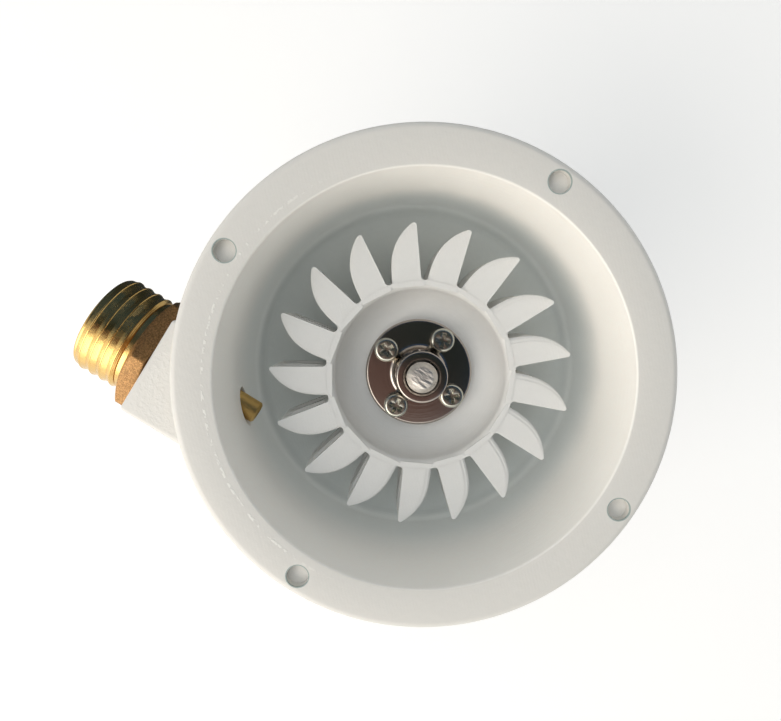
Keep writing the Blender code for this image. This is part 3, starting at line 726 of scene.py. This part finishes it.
def make_fitting(sizes):
    """Threaded tube with its neck and spigot, turned about Z and laid along the jet."""
    start = FITTING_LOW.x
    end = FITTING_HIGH.x
    neck = -sizes.neck_start
    hexa = -sizes.hex_start
    flank = 0.38 * sizes.pitch
    outline = [(sizes.bore, start + 0.4 * MM), (sizes.bore + 0.4 * MM, start),
               (sizes.root - 0.2 * MM, start), (sizes.root, start + 0.3 * MM)]
    for turn in range(4):
        crest = start + sizes.first + sizes.pitch * turn
        outline += [(sizes.root, crest - flank - 0.12 * MM), (sizes.root + 0.08 * MM, crest - flank),
                    (sizes.crest - 0.12 * MM, crest - 0.2 * MM), (sizes.crest, crest - 0.08 * MM),
                    (sizes.crest, crest + 0.08 * MM), (sizes.crest - 0.12 * MM, crest + 0.2 * MM),
                    (sizes.root + 0.08 * MM, crest + flank)]
    outline[-1] = (sizes.neck + 0.2 * MM, neck - 0.1 * MM)
    outline += [(sizes.neck, neck), (sizes.neck, hexa + MM), (sizes.spigot, hexa + MM),
                (sizes.spigot, end), (sizes.bore, end)]
    return along_jet(lathe("brass_thread", outline, 96, ring=True))


def make_hexagon(sizes):
    """Cast hexagon with one corner up, its front corners turned off."""
    across = sizes.flats / 2
    corner = across / math.cos(math.radians(30))
    front = -sizes.hex_start
    back = -sizes.hex_end
    hexagon = add_primitive(bpy.ops.mesh.primitive_cylinder_add, "brass_hexagon", vertices=6,
                            radius=corner, depth=back - front)
    first = hexagon.data.vertices[0].co
    turn = math.radians(90) - math.atan2(first.y, first.x)
    fix_place(hexagon, (0, 0, (front + back) / 2), (0, 0, turn + math.radians(90)))
    round_edges(hexagon, 0.35 * MM, 3)
    cap = [(0.0, front - MM), (across - 0.4 * MM, front - MM), (across - 0.4 * MM, front),
           (corner, front + 1.2 * MM), (corner + MM, back + MM), (0.0, back + MM)]
    carve(hexagon, lathe("chamfer_tool", cap, 96), "INTERSECT")
    along_jet(hexagon)
    carve(hexagon, cylinder(sizes.neck - 0.1 * MM, (front - MM, JET_Y, JET_Z),
                            (back + MM, JET_Y, JET_Z), 96))
    return hexagon


def make_nozzle(sizes):
    """Nozzle whose tip stands into the chamber, turned about Z and laid along the jet."""
    start = NOZZLE_LOW.x
    end = NOZZLE_HIGH.x
    head_end = start + 3.0 * MM
    outline = [(sizes.bore, start), (sizes.spigot, start), (sizes.spigot, head_end),
               (sizes.tip, head_end), (sizes.tip, end - 0.4 * MM), (sizes.tip - 0.4 * MM, end),
               (sizes.jet, end), (sizes.jet, end - 5 * MM), (sizes.tip - 0.6 * MM, head_end - MM)]
    return along_jet(lathe("brass_nozzle", outline, 64, ring=True))


def make_coupling(sizes):
    """Flange coupling: flange, hub with a rounded foot, and its grub screw holes."""
    back = COUPLING_LOW.z
    front = back + sizes.thick
    top = COUPLING_HIGH.z
    flange_r = COUPLING_HIGH.x
    rim = (flange_r, front)
    corner = (sizes.hub, front)
    peak = (sizes.hub, top)
    outline = [(sizes.bore, back), (flange_r - 0.3 * MM, back), (flange_r, back + 0.3 * MM),
               *fillet((flange_r, back), rim, corner, sizes.edge, 5),
               *fillet(rim, corner, peak, sizes.foot, 8),
               *fillet(corner, peak, (sizes.bore, top), 0.4 * MM, 4),
               (sizes.bore + 0.3 * MM, top), (sizes.bore, top - 0.3 * MM)]
    coupling = lathe("flange_coupling", outline, 128, ring=True)
    height = top - 4 * MM
    for x, y in list(ring_places(sizes.hub, GRUB_START))[:2]:
        carve(coupling, cylinder(sizes.grub + 0.15 * MM, (0.6 * x, 0.6 * y, height),
                                 (1.2 * x, 1.2 * y, height)))
    return coupling


def make_shaft(sizes):
    """Shaft with a filed, slightly domed end."""
    top = SHAFT_HIGH.z
    flat = sizes.shaft_end
    shoulder = sizes.shaft - 0.52 * MM
    outline = [(0.0, SHAFT_LOW.z), (sizes.shaft, SHAFT_LOW.z), (sizes.shaft, top - 1.1 * MM),
               (shoulder, top - 0.45 * MM), (shoulder - 0.15 * MM, top - 0.3 * MM),
               (flat + 0.15 * MM, top - 0.04 * MM), (flat, top), (0.0, top)]
    return lathe("steel_shaft", outline, 64)


def make_grub(sizes, name, node):
    """Grub screw with a hexagon socket, lying along its own radius."""
    low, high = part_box(node)
    middle = (low + high) / 2
    outward = Vector((middle.x, middle.y, 0)).normalized()
    start = Vector((0, 0, middle.z)) + outward * (sizes.shaft + 0.3 * MM)
    end = Vector((0, 0, middle.z)) + outward * (sizes.hub - 0.2 * MM)
    grub = cylinder(sizes.grub, start, end)
    grub.name = name
    round_edges(grub, 0.15 * MM, 2)
    carve(grub, cylinder(1.1 * MM, end - outward * 1.6 * MM, end + outward * MM, 6))
    return grub


def make_wedge(length_across, width, top, depth, angle):
    """Tool for one slot of a crossed recess, narrower at its foot."""
    wedge = add_primitive(bpy.ops.mesh.primitive_cube_add, "slot_tool", size=1.0)
    fix_place(wedge, (0, 0, top), scale=(length_across, width, 2 * depth))
    for vertex in wedge.data.vertices:
        if vertex.co.z < top:
            vertex.co.x *= 0.6
            vertex.co.y *= 0.7
    fix_place(wedge, rotation=(0, 0, angle))
    return wedge


def make_screw(name, node, head_h, angle):
    """Pan-head screw with a crossed recess, made about Z and moved to its node's place."""
    low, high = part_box(node)
    middle = (low + high) / 2
    head_r = (high.x - low.x) / 2
    shank_r = 0.42 * head_r
    seat = high.z - head_h
    rim = (head_r, high.z)
    outline = [(0.0, low.z), (0.6 * shank_r, low.z), (shank_r, low.z + 0.6 * MM), (shank_r, seat),
               (head_r - 0.1 * MM, seat), (head_r, seat + 0.1 * MM),
               *fillet((head_r, seat), rim, (0.0, high.z), 0.65 * MM, 6), (0.0, high.z)]
    screw = lathe(name, outline, 48)
    for turn in (angle, angle + math.radians(90)):
        carve(screw, make_wedge(1.45 * head_r, 0.36 * head_r, high.z, 0.7 * head_h, turn))
    round_edges(screw, 0.07 * MM, 2)
    fix_place(screw, (middle.x, middle.y, 0))
    return screw


def make_can():
    """Rolled steel can with a shallow groove near each end, and its gland hole."""
    radius = CAN_HIGH.x
    groove = 0.5 * MM
    outline = [(0.0, CAN_LOW.z), (radius, CAN_LOW.z)]
    for height in (CAN_LOW.z + 4 * MM, CAN_HIGH.z - 5 * MM):
        outline += [(radius, height - MM), (radius - groove, height - 0.4 * MM),
                    (radius - groove, height + 0.4 * MM), (radius, height + MM)]
    outline += [(radius, CAN_HIGH.z), (0.0, CAN_HIGH.z)]
    can = lathe("generator_body", outline, 128)
    middle = (GLAND_LOW.z + GLAND_HIGH.z) / 2
    carve(can, cylinder(3.9 * MM, (0, 21.7 * MM, middle), (0, 26 * MM, middle)))
    return can


def make_cap(name, radius, low, top, boss=()):
    """A round generator cap with rounded outer edges; boss points are added on top."""
    outer_low = (radius, low)
    outer_high = (radius, top)
    outline = [(0.0, low), *fillet((0.0, low), outer_low, outer_high, 1.2 * MM),
               *fillet(outer_low, outer_high, (0.0, top), 0.8 * MM)]
    outline += list(boss) + [(0.0, boss[-1][1] if boss else top)]
    return lathe(name, outline, 128)


def make_front_cap():
    """Front cap with its boss, shaft bore and screw holes."""
    top = GASKET_LOW.z - 0.3 * MM
    boss_r = 9.0 * MM
    boss_top = FRONT_HIGH.z
    bore_floor = SHAFT_LOW.z - 0.3 * MM
    boss = [(boss_r, top), (boss_r, boss_top - 0.3 * MM), (boss_r - 0.3 * MM, boss_top),
            (SHAFT_BORE, boss_top), (SHAFT_BORE, bore_floor)]
    cap = make_cap("front_cap", FRONT_HIGH.x, FRONT_LOW.z, top, boss)
    for x, y in ring_places(MOUNT_CIRCLE, MOUNT_START):
        carve(cap, cylinder(MOUNT_HOLE, (x, y, bore_floor), (x, y, boss_top), 24))
    return cap


def make_gasket():
    """Flat rubber ring between the front cap and the shell."""
    low, high = GASKET_LOW.z, GASKET_HIGH.z
    inner, outer = 16 * MM, GASKET_HIGH.x
    outline = [(inner, low), (outer - 0.1 * MM, low), (outer, low + 0.2 * MM),
               (outer, high - 0.2 * MM), (outer - 0.1 * MM, high), (inner, high)]
    return lathe("rubber_gasket", outline, 128, ring=True)


def make_seal():
    """Lip seal around the shaft."""
    low, high = SEAL_LOW.z, SEAL_HIGH.z
    outer = SEAL_HIGH.x
    outline = [(SHAFT_BORE, low), (outer, low), (outer - 0.3 * MM, low + 0.8 * MM),
               (outer - 1.2 * MM, high), (4.2 * MM, high), (3.9 * MM, high - 0.5 * MM),
               (SHAFT_BORE, high - 0.3 * MM)]
    return lathe("lip_seal", outline, 64, ring=True)


def make_gland():
    """Ribbed rubber sleeve where the leads come out of the can, its outline in millimetres."""
    outline = [(0.0, 22.0), (3.6, 22.0), (3.6, 25.2), (4.8, 25.2), (4.8, 26.1), (4.5, 26.4),
               (3.0, 26.5)]
    for start in (26.8, 27.8, 28.8):
        outline += [(3.0, start), (3.3, start + 0.2), (3.3, start + 0.5), (2.9, start + 0.7)]
    end = GLAND_HIGH.y / MM
    outline += [(2.5, end), (1.6, end), (1.6, 27.5), (0.0, 27.5)]
    gland = lathe("lead_sleeve", [(radius * MM, height * MM) for radius, height in outline], 48)
    fix_place(gland, (0, 0, (GLAND_LOW.z + GLAND_HIGH.z) / 2), (math.radians(-90), 0, 0))
    return gland


class HYDRO_OT_shell(bpy.types.Operator):
    """Build the printed shell with its inlet block and face holes"""
    bl_idname = "hydro.shell"
    bl_label = "Printed shell"

    def execute(self, context):
        scene = context.scene
        finish = printed_pla("white_pla_shell", scene.hydro_finish.shell, 0.42, True)
        dress(make_shell(scene.hydro_shell), finish, "printed_plastic", "housing", "housing_shell")
        return {"FINISHED"}


class HYDRO_OT_runner(bpy.types.Operator):
    """Build the runner with its ring of double buckets"""
    bl_idname = "hydro.runner"
    bl_label = "Runner"

    def execute(self, context):
        scene = context.scene
        finish = printed_pla("white_pla_runner", scene.hydro_finish.runner, 0.4)
        runner = make_runner(scene.hydro_runner)
        dress(runner, finish, "runner_plastic", "rotor", "runner", angle=35)
        return {"FINISHED"}


class HYDRO_OT_inlet(bpy.types.Operator):
    """Build the brass inlet: thread, neck, hexagon and nozzle"""
    bl_idname = "hydro.inlet"
    bl_label = "Brass inlet"

    def execute(self, context):
        scene = context.scene
        sizes = scene.hydro_inlet
        turned = turned_brass("turned_brass", scene.hydro_finish.brass)
        cast = cast_brass("tumbled_cast_brass", scene.hydro_finish.cast)
        filed = turned_brass("filed_brass", scene.hydro_finish.brass, 0.36)
        dress(make_fitting(sizes), turned, "brass", "housing", "inlet_fitting", angle=20)
        dress(make_hexagon(sizes), cast, "brass", "housing", "inlet_fitting", angle=25)
        dress(make_nozzle(sizes), filed, "brass", "housing", "nozzle_tip", angle=25)
        return {"FINISHED"}


class HYDRO_OT_coupling(bpy.types.Operator):
    """Build the flange coupling, its grub screws and the shaft"""
    bl_idname = "hydro.coupling"
    bl_label = "Coupling and shaft"

    def execute(self, context):
        scene = context.scene
        sizes = scene.hydro_coupling
        nickel = turned_steel("nickel_plated_steel", scene.hydro_finish.nickel, 0.16, 0.5, 0.02)
        coupling = make_coupling(sizes)
        dress(coupling, nickel, "coupling_steel", "rotor", "coupling_flange", angle=25)
        ground = sawn_steel("ground_silver_steel", scene.hydro_finish.shaft)
        dress(make_shaft(sizes), ground, "shaft_steel", "rotor", "generator_shaft", angle=25)
        for number in (1, 2):
            node = f"grub_screw_{number}"
            dress(make_grub(sizes, f"hex_grub_{number}", node), nickel, "screw_steel", "rotor", node)
        return {"FINISHED"}


class HYDRO_OT_screws(bpy.types.Operator):
    """Build the cross-recessed screws of the coupling and the generator"""
    bl_idname = "hydro.screws"
    bl_label = "Screws"

    def execute(self, context):
        finish = turned_steel("zinc_plated_steel", context.scene.hydro_finish.screw, 0.24, 0.6, 0.01)
        turns = (20, 65, 5, 40)
        for number, turn in enumerate(turns, 1):
            node = f"coupling_screw_{number}"
            screw = make_screw(f"pan_screw_{number}", node, 1.7 * MM, math.radians(turn))
            dress(screw, finish, "screw_steel", "rotor", node)
            node = f"generator_screw_{number}"
            screw = make_screw(f"mount_screw_{number}", node, 1.8 * MM, math.radians(turn + 30))
            dress(screw, finish, "screw_steel", "housing", node)
        return {"FINISHED"}


class HYDRO_OT_generator(bpy.types.Operator):
    """Build the generator behind the shell: can, caps, gasket, seal and lead sleeve"""
    bl_idname = "hydro.generator"
    bl_label = "Generator"

    def execute(self, context):
        looks = context.scene.hydro_finish
        plated = plated_tube("zinc_plated_can", looks.can)
        dress(make_can(), plated, "can_steel", "housing", "generator_can")
        alloy = die_cast_alloy("die_cast_alloy", looks.cap)
        rear = make_cap("rear_cap", REAR_HIGH.x, REAR_LOW.z, REAR_HIGH.z)
        dress(rear, alloy, "cap_alloy", "housing", "generator_rear_cap")
        dress(make_front_cap(), alloy, "cap_alloy", "housing", "generator_front_cap")
        rubber = nitrile_rubber("nitrile_rubber", looks.rubber)
        dress(make_gasket(), rubber, "black_rubber", "housing", "generator_gasket")
        dress(make_seal(), rubber, "black_rubber", "housing", "shaft_seal")
        dress(make_gland(), rubber, "black_rubber", "housing", "lead_gland")
        return {"FINISHED"}


class HYDRO_OT_stage(bpy.types.Operator):
    """Set the floor, the studio light and the camera"""
    bl_idname = "hydro.stage"
    bl_label = "Stage"

    def execute(self, context):
        make_floor()
        make_world()
        make_window_light()
        make_camera()
        context.scene.view_settings.view_transform = "Standard"
        return {"FINISHED"}


def make_floor():
    """White board that runs out into an even white ground."""
    floor = add_primitive(bpy.ops.mesh.primitive_plane_add, "studio_floor", size=8.0,
                          location=(0, 0, CAD_BOX[0].z - 0.05 * MM))
    white = hex_colour(0xF2F2F2)
    found, add, shader, place = new_material("matt_white_board", white, 0.8)
    from_part = add("VectorMath", (place,), operation="LENGTH", out="Value")
    far = add("MapRange", (from_part, 250.0, 1100.0), **SOFT)
    seen = add("Mix", {"Factor": far, 6: white, 7: hex_colour(0x000000)}, **MIXED)
    # Mirrors see the far part of the board as if it lay in a dim blue room
    moved = add("VectorMath", (place, (50.0, 60.0, 0.0)))
    way = add("VectorMath", (moved,), operation="NORMALIZE")
    behind = add("VectorMath", (way, (-0.53, 0.85, 0.0)), **DOT)
    behind = add("MapRange", (behind, 0.5, 0.8), **SOFT)
    dim = product(add, add("LightPath", out="Is Glossy Ray"), behind)
    seen = add("Mix", {"Factor": dim, 6: seen, 7: hex_colour(0x1C2E3C)}, **MIXED)
    link(seen, shader.inputs["Base Color"])
    glow = add("MapRange", (from_part, 150.0, 1100.0, 0.25, 1.05), **SOFT)
    lit = add("Math", (1.0, dim), operation="SUBTRACT")
    shader.inputs["Emission Color"].default_value = hex_colour(0xFFFFFF)
    link(product(add, glow, lit), shader.inputs["Emission Strength"])
    floor.data.materials.append(found)


def make_world():
    """Room light: a pale window side, a dim blue-green far side and a dark brown ceiling."""
    world = bpy.data.worlds.new("studio_room")
    bpy.context.scene.world = world
    world.use_nodes = True
    add = partial(add_node, world.node_tree)
    way = add("TexCoord", out="Generated")

    def part_of_room(direction, low, high, first, second):
        """Goes from one colour to another as the way comes to point along a direction."""
        share = add("VectorMath", (way, direction), **DOT)
        share = add("MapRange", (share, low, high), **SOFT)
        first, second = (hex_colour(tone) if isinstance(tone, int) else tone
                         for tone in (first, second))
        return add("Mix", {"Factor": share, 6: first, 7: second}, **MIXED)

    up = (0.0, 0.0, 1.0)
    window = (-0.05, -1.0, 0.0)
    room = part_of_room(window, -0.05, 0.7, 0x28384C, 0xF2EFE9)
    ceiling = part_of_room((-0.03, -1.0, 0.0), 0.03, 0.1, 0x1A201E, 0x56423C)
    mirrored = part_of_room(up, 0.86, 0.965, room, ceiling)
    # Matt faces get softer light, the brightest of it from high up on the inlet's side
    around = part_of_room(window, -0.05, 0.7, 0x5E6264, 0xA29F98)
    overhead = part_of_room((-0.97, 0.26, 0.0), -0.4, 0.6, 0x767878, 0xDEE0E0)
    seen = part_of_room(up, 0.55, 0.8, around, overhead)
    for ray, tone in (("Is Glossy Ray", mirrored), ("Is Camera Ray", hex_colour(0xCBCBCB))):
        path = add("LightPath", out=ray)
        seen = add("Mix", {"Factor": path, 6: seen, 7: tone}, **MIXED)
    background = world.node_tree.nodes["Background"]
    link(seen, background.inputs["Color"])
    background.inputs["Strength"].default_value = 1.9


def make_window_light():
    """A large soft square light, low on the camera's lower left, aimed at the shell's face."""
    azimuth = math.radians(248)
    elevation = math.radians(32)
    distance = 0.9
    flat = math.cos(elevation)
    away = Vector((flat * math.cos(azimuth), flat * math.sin(azimuth), math.sin(elevation)))
    data = bpy.data.lights.new("window_light", "AREA")
    data.size = 0.8
    data.energy = 5.0
    data.color = hex_colour(0xFFF6EC)[:3]
    light = bpy.data.objects.new("window_light", data)
    bpy.context.scene.collection.objects.link(light)
    light.location = Vector((0, 0, FACE_Z)) + away * distance
    light.rotation_euler = away.to_track_quat("Z", "Y").to_euler()


def make_camera():
    """Close over the open side, tilted a little, turned so that the inlet points left."""
    data = bpy.data.cameras.new("photo_camera")
    data.sensor_width = 36.0
    data.lens = 28.92
    data.clip_start = 0.01
    camera = bpy.data.objects.new("photo_camera", data)
    bpy.context.scene.collection.objects.link(camera)
    camera.location = (-13.86 * MM, 6.27 * MM, FACE_Z + 109.68 * MM)
    camera.rotation_euler = [math.radians(angle) for angle in (-4.515, -1.146, 32.0)]
    bpy.context.scene.camera = camera


class HYDRO_PT_panel(bpy.types.Panel):
    """Lists the pieces of the hydro generator"""
    bl_idname = "HYDRO_PT_panel"
    bl_label = "Hydro generator"
    bl_space_type = "VIEW_3D"
    bl_region_type = "UI"
    bl_category = "Hydro"

    def draw(self, context):
        for group in GROUPS:
            box = self.layout.box()
            settings = getattr(context.scene, group)
            for key in settings.bl_rna.properties.keys():
                if key not in ("rna_type", "name"):
                    box.prop(settings, key)
        for operator in OPERATORS:
            self.layout.operator(operator.bl_idname)


GROUPS = {
    "hydro_shell": HydroShell,
    "hydro_runner": HydroRunner,
    "hydro_inlet": HydroInlet,
    "hydro_coupling": HydroCoupling,
    "hydro_finish": HydroFinish,
}
OPERATORS = (HYDRO_OT_stage, HYDRO_OT_shell, HYDRO_OT_runner, HYDRO_OT_inlet, HYDRO_OT_coupling,
             HYDRO_OT_screws, HYDRO_OT_generator)
CLASSES = (*GROUPS.values(), *OPERATORS, HYDRO_PT_panel)


def register():
    for kind in CLASSES:
        bpy.utils.register_class(kind)
    for name, group in GROUPS.items():
        setattr(bpy.types.Scene, name, PointerProperty(type=group))


def unregister():
    for name in GROUPS:
        delattr(bpy.types.Scene, name)
    for kind in reversed(CLASSES):
        bpy.utils.unregister_class(kind)


def main():
    register()
    bpy.ops.hydro.stage()
    bpy.ops.hydro.shell()
    bpy.ops.hydro.runner()
    bpy.ops.hydro.inlet()
    bpy.ops.hydro.coupling()
    bpy.ops.hydro.screws()
    bpy.ops.hydro.generator()


if __name__ == "__main__":
    main()
